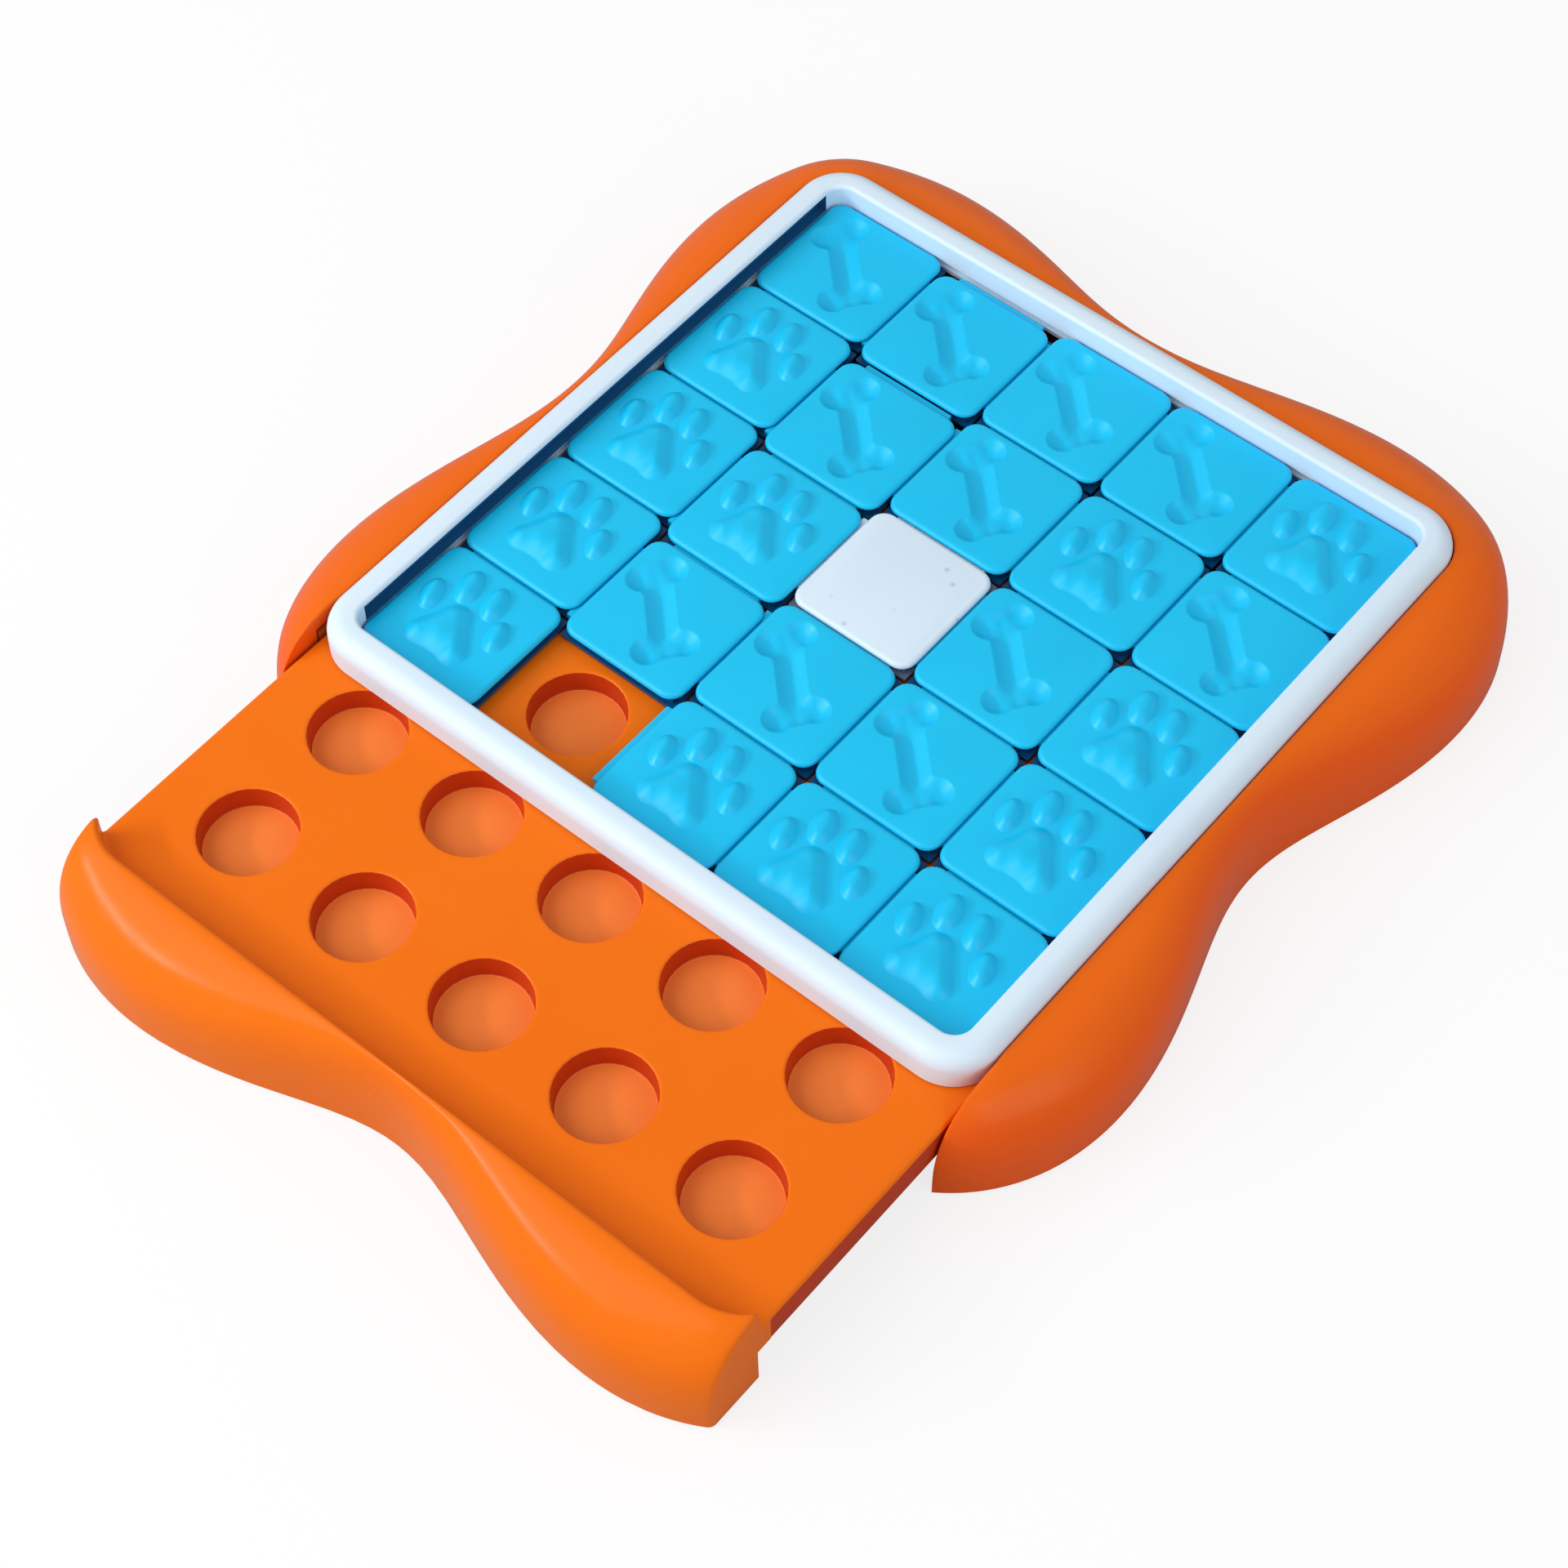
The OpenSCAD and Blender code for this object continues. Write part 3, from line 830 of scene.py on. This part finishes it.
class Nodes:
    """Builds a material's node tree in a few words."""

    def __init__(self, name):
        self.material = bpy.data.materials.new(name)
        self.material.use_nodes = True
        self.tree = self.material.node_tree
        self.shader = self.tree.nodes["Principled BSDF"]
        self.where = self.add("ShaderNodeTexCoord").outputs["Object"]

    def add(self, kind, **values):
        node = self.tree.nodes.new(kind)
        for key, value in values.items():
            setattr(node, key, value)
        return node

    def link(self, source, target):
        self.tree.links.new(source, target)

    def noise(self, scale, detail):
        node = self.add("ShaderNodeTexNoise")
        node.inputs["Scale"].default_value = scale
        node.inputs["Detail"].default_value = detail
        node.inputs["Roughness"].default_value = 0.5
        self.link(self.where, node.inputs["Vector"])
        return node.outputs["Fac"]

    def spread(self, source, low, high, start=0.3, end=0.7):
        """Maps a value from start to end, by default the middle of a noise, onto a range."""
        node = self.add("ShaderNodeMapRange")
        node.inputs["From Min"].default_value = start
        node.inputs["From Max"].default_value = end
        node.inputs["To Min"].default_value = low
        node.inputs["To Max"].default_value = high
        self.link(source, node.inputs["Value"])
        return node.outputs["Result"]

    def blend(self, factor, first, second):
        """Mixes two colours, each a plain one or another node's output."""
        node = self.add("ShaderNodeMix", data_type="RGBA")
        colours = [s for s in node.inputs if s.type == "RGBA"]
        for socket, value in zip(colours, (first, second)):
            if hasattr(value, "is_linked"):
                self.link(value, socket)
            else:
                socket.default_value = value
        self.link(factor, node.inputs[0])
        return [s for s in node.outputs if s.type == "RGBA"][0]

    def bump(self, height, strength, distance):
        node = self.add("ShaderNodeBump")
        node.inputs["Strength"].default_value = strength
        node.inputs["Distance"].default_value = distance
        self.link(height, node.inputs["Height"])
        self.link(node.outputs["Normal"], self.shader.inputs["Normal"])

    def clouds(self, colour, deep):
        """A colour that wanders slowly towards a deeper one."""
        return self.blend(self.spread(self.noise(CLOUD_SCALE, 3), 0, 1), rgba(*colour), rgba(*deep))

    def finish(self, colour, rough, grain=1.0):
        """Gives the shader its colour, an uneven gloss and a fine grain."""
        self.link(colour, self.shader.inputs["Base Color"])
        self.link(self.spread(self.noise(GLOSS_SCALE, 3), *rough), self.shader.inputs["Roughness"])
        self.bump(self.noise(GRAIN_SCALE, 2), GRAIN_STRENGTH * grain, GRAIN_DEPTH)


def plastic(name, colour, deep, rough=(0.3, 0.4), grain=1.0, painted_wall_shade=None, gloss=0.3):
    """Satin moulded plastic. Where a wall colour is given, its near-upright walls are painted in that
    redder, darker colour as painted shade.
    """
    n = Nodes(name)
    tone = n.clouds(colour, deep)
    # Painted shade: the more upright the wall, the more of the redder shade colour
    if painted_wall_shade:
        level = n.add("ShaderNodeSeparateXYZ")
        n.link(n.add("ShaderNodeNewGeometry").outputs["Normal"], level.inputs[0])
        tone = n.blend(n.spread(level.outputs["Z"], 0, 1, *PAINTED_SHADE_RANGE), rgba(*painted_wall_shade), tone)
    n.finish(tone, rough, grain)
    n.shader.inputs["Specular IOR Level"].default_value = gloss
    return n.material


def speckled(name, colour, deep, speck):
    """White plastic with a few faint specks of dust."""
    n = Nodes(name)
    tone = n.clouds(colour, deep)
    dots = n.add("ShaderNodeTexVoronoi")
    dots.inputs["Scale"].default_value = SPECK_SCALE
    n.link(n.where, dots.inputs["Vector"])
    near = n.spread(dots.outputs["Distance"], SPECK_SHARE, 0, *SPECK_RANGE)
    n.finish(n.blend(near, tone, rgba(*speck)), (0.36, 0.46))
    return n.material


# The housing's orange, with a redder painted shade on its near-upright walls
ORANGE = plastic("orange_plastic", (244, 111, 18), (241, 106, 14), (0.2, 0.28),
                 painted_wall_shade=(243, 93, 18), gloss=0.16)
TRAY_ORANGE = plastic("tray_plastic", (244, 117, 18), (242, 113, 14), (0.2, 0.28), gloss=0.13)
# Painted shade: a darker red for the wells' walls and the plate's sides
TRAY_PAINTED_SHADE = plastic("tray_wall_plastic", (195, 59, 16), (189, 56, 14), gloss=0.14)
# Painted light: a lighter, pinker orange for the wells' floors, which hides their shade
TRAY_FLOOR_PAINTED_LIGHT = plastic("tray_floor_plastic", (252, 137, 62), (250, 133, 58), gloss=0.14)
BASE_ORANGE = plastic("base_plastic", (226, 104, 34), (219, 98, 30), (0.42, 0.55), grain=1.6)
BLUE = plastic("blue_plastic", (22, 199, 247), (16, 195, 244))
# Painted shade: dark blue for the tiles' sides, seams and corner holes
BLUE_PAINTED_SHADE = plastic("blue_side_plastic", (0, 78, 130), (0, 74, 124))
WHITE = plastic("white_plastic", (223, 241, 255), (219, 238, 254), (0.34, 0.44))
# Painted shade: dark blue in the recess of the white frame's left inner wall
WHITE_PAINTED_SHADE = plastic("white_recess_plastic", (34, 104, 156), (30, 98, 150))
PALE = speckled("pale_plastic", (221, 240, 254), (216, 236, 252), speck=(150, 170, 190))
# Painted shade: grey-blue for the plain tile's sides
PALE_PAINTED_SHADE = plastic("pale_side_plastic", (110, 132, 156), (104, 126, 150))
RUBBER = plastic("foot_rubber", (52, 53, 56), (44, 45, 48), (0.7, 0.85), grain=3.0)
STEEL = plastic("screw_steel", (172, 172, 176), (160, 160, 165), (0.28, 0.38), grain=0.5)
STEEL.node_tree.nodes["Principled BSDF"].inputs["Metallic"].default_value = 1.0


# ---- Painted shade on walls and painted light on the wells' floors ----

NEAR = 0.1


def give_tones(data, tone_at):
    """Gives each face the material whose number tone_at finds for its centre."""
    for face in data.polygons:
        face.material_index = tone_at(face.center / MM - Vector((0, GRID_Y, 0)))


def tile_painted_shade(p):
    """Painted shade on the upright sides below the rounded top edge."""
    out = max(abs(p.x), abs(p.y))
    is_side = TILE_HALF - GROOVE_DEEP - NEAR < out < TILE_HALF + NEAR
    return int(is_side and p.z < TILE_TOP - TILE_ROUND - NEAR / 2)


def tray_painted_shade_and_light(p):
    """Painted shade on the wells' walls and the plate's sides, painted light on the wells' floors."""
    place_y = p.y + DRAWER_OUT
    is_plate = place_y > -GRID_HALF
    x, y = [(c + PITCH / 2) % PITCH - PITCH / 2 for c in (p.x, place_y)]
    is_well = is_plate and abs(p.x) < GRID_HALF and hypot(x, y) < WELL_R + FLAT_RING
    # Painted shade on the wells' walls, painted light on their floors
    if is_well and WELL_FLOOR - NEAR < p.z < PLATE_TOP - RIM_ROUND / 2:
        return 2 if p.z < WELL_FLOOR + NEAR else 1
    # Painted shade on the plate's sides
    return int(is_plate and abs(p.x) > DRAWER_HALF - NEAR / 2 and p.z < PLATE_TOP - END_ROUND)


def frame_painted_shade(p):
    """Painted shade, in dark blue, in the recess along the left inner wall."""
    low, high = RECESS_Z
    is_along = abs(p.y) < FRAME_STRAIGHT and low - NEAR / 2 < p.z < high + NEAR / 2
    return int(is_along and FRAME_INNER + NEAR < -p.x < FRAME_INNER + RECESS + NEAR)


# ---- Pieces ----

tile_data = {}
for kind in FORMS:
    tile_data[kind] = tile_mesh(kind).mesh(f"tile_{kind}", crease=50)
    give_tones(tile_data[kind], tile_painted_shade)

for row, kinds in LAYOUT.items():
    for column, kind in zip(COLUMNS, kinds):
        if not kind:
            continue
        node = f"tile_{column}{row}"
        low, _ = box_mm(node)
        data = tile_data[kind].copy()
        centre = Vector((low.x + TONGUE_OUT + TILE_HALF, low.y + TILE_HALF - GRID_Y, 0))
        data.transform(Matrix.Translation(centre * MM))
        body = node if node in frame["bodies"] else "root"
        # Each tile's second material is painted shade on its sides
        tones = (PALE, PALE_PAINTED_SHADE) if kind == "plain" else (BLUE, BLUE_PAINTED_SHADE)
        show(f"slider_{column}{row}", data, tones, body, node)

ring = frame_mesh().mesh("bezel_ring", crease=48)
give_tones(ring, frame_painted_shade)
show("bezel_ring", ring, (WHITE, WHITE_PAINTED_SHADE), "root", "bezel_frame")
shell = housing_mesh().mesh("housing_shell", crease=40)
show("housing_shell", shell, (ORANGE,), "root", "housing")
tray = drawer_mesh().mesh("tray", crease=40, shift=(0, -DRAWER_OUT, 0))
give_tones(tray, tray_painted_shade_and_light)
# The tray's second and third materials are painted shade and painted light
show("tray", tray, (TRAY_ORANGE, TRAY_PAINTED_SHADE, TRAY_FLOOR_PAINTED_LIGHT), "drawer", "drawer")

# CAD nodes that stay as they are
finishes = {"base_plate": BASE_ORANGE, "base_screws": STEEL}
finishes.update({node: RUBBER for node in frame["nodes"] if node.startswith("foot_")})
for node, material in finishes.items():
    slots = frame["nodes"][node].data.materials
    slots.clear()
    slots.append(material)


# ---- Stage, light and camera ----

scene = bpy.context.scene
scene.view_settings.view_transform = "Standard"

# The floor's half width in metres, its grey as light meets it and as the camera sees it, and its own glow
FLOOR_REACH = 6.0
FLOOR_GREY = (0.45, 0.45, 0.45, 1)
FLOOR_WHITE = (0.95, 0.95, 0.95, 1)
FLOOR_GLOW = 0.8

ROOM_COLOUR = (1.0, 0.99, 0.98, 1)
ROOM_LIGHT = 0.53
LIGHT_TARGET = Vector((0, GRID_Y * MM, 0.02))

# Soft lights: azimuth, elevation, distance in metres, width and height in metres, power in watts
LAMPS = {
    "key": (-36, 42, 1.6, (1.6, 1.2), 11.4),
    "strip": (-38, 24, 1.6, (0.8, 0.1), 7),
    "fill": (80, 28, 1.8, (1.2, 1.2), 6.5),
}

# The camera stands at the front right, high above the tiles.
CAMERA_TARGET = Vector((17.93, -66.21 + GRID_Y, TILE_TOP)) * MM
CAMERA_AZIMUTH = 40.84
CAMERA_ELEVATION = 55.30
CAMERA_ROLL = -1.327
CAMERA_DISTANCE = 0.88457
CAMERA_LENS = 80.59
CAMERA_SENSOR = 36


def direction(azimuth, elevation):
    """Where something stands, seen from its target. Azimuth 0 is in front, 90 at the right."""
    az, el = radians(azimuth), radians(elevation)
    return Vector((sin(az) * cos(el), -cos(az) * cos(el), sin(el)))


def make_stage():
    """A plain white floor that keeps the object's shadow."""
    data = bpy.data.meshes.new("floor")
    corners = [(x * FLOOR_REACH, y * FLOOR_REACH, 0) for x, y in ((-1, -1), (1, -1), (1, 1), (-1, 1))]
    data.from_pydata(corners, [], [(0, 1, 2, 3)])
    floor = bpy.data.objects.new("floor", data)
    scene.collection.objects.link(floor)
    n = Nodes("floor_paper")
    n.shader.inputs["Roughness"].default_value = 0.9
    n.shader.inputs["Specular IOR Level"].default_value = 0.1
    seen = n.add("ShaderNodeLightPath").outputs["Is Camera Ray"]
    n.link(n.blend(seen, FLOOR_GREY, FLOOR_WHITE), n.shader.inputs["Base Color"])
    glow = n.add("ShaderNodeEmission")
    glow.inputs["Strength"].default_value = 1.0
    share = n.add("ShaderNodeMath", operation="MULTIPLY")
    share.inputs[1].default_value = FLOOR_GLOW
    n.link(seen, share.inputs[0])
    mix = n.add("ShaderNodeMixShader")
    for source, socket in zip((share, n.shader, glow), mix.inputs):
        n.link(source.outputs[0], socket)
    n.link(mix.outputs[0], n.tree.nodes["Material Output"].inputs["Surface"])
    data.materials.append(n.material)


def make_lights():
    """A soft room and three soft lamps."""
    world = bpy.data.worlds.new("soft_room")
    world.use_nodes = True
    background = world.node_tree.nodes["Background"]
    background.inputs["Color"].default_value = ROOM_COLOUR
    background.inputs["Strength"].default_value = ROOM_LIGHT
    scene.world = world
    for name, (azimuth, elevation, distance, size, power) in LAMPS.items():
        away = direction(azimuth, elevation)
        light = bpy.data.lights.new(name, "AREA")
        light.shape = "RECTANGLE"
        light.energy, light.size, light.size_y = power, *size
        lamp = bpy.data.objects.new(name, light)
        lamp.location = LIGHT_TARGET + away * distance
        lamp.rotation_euler = (-away).to_track_quat("-Z", "Y").to_euler()
        scene.collection.objects.link(lamp)


def make_camera():
    """The camera that the photograph's view is rendered with."""
    back = direction(CAMERA_AZIMUTH, CAMERA_ELEVATION)
    level = Vector((cos(radians(CAMERA_AZIMUTH)), sin(radians(CAMERA_AZIMUTH)), 0))
    roll = radians(CAMERA_ROLL)
    right = level * cos(roll) + back.cross(level) * sin(roll)
    axes = Matrix((right, back.cross(right), back)).transposed().to_4x4()
    camera = bpy.data.objects.new("camera", bpy.data.cameras.new("camera"))
    camera.matrix_world = Matrix.Translation(CAMERA_TARGET + back * CAMERA_DISTANCE) @ axes
    camera.data.sensor_width = CAMERA_SENSOR
    camera.data.lens = CAMERA_LENS
    scene.collection.objects.link(camera)
    scene.camera = camera


make_stage()
make_lights()
make_camera()
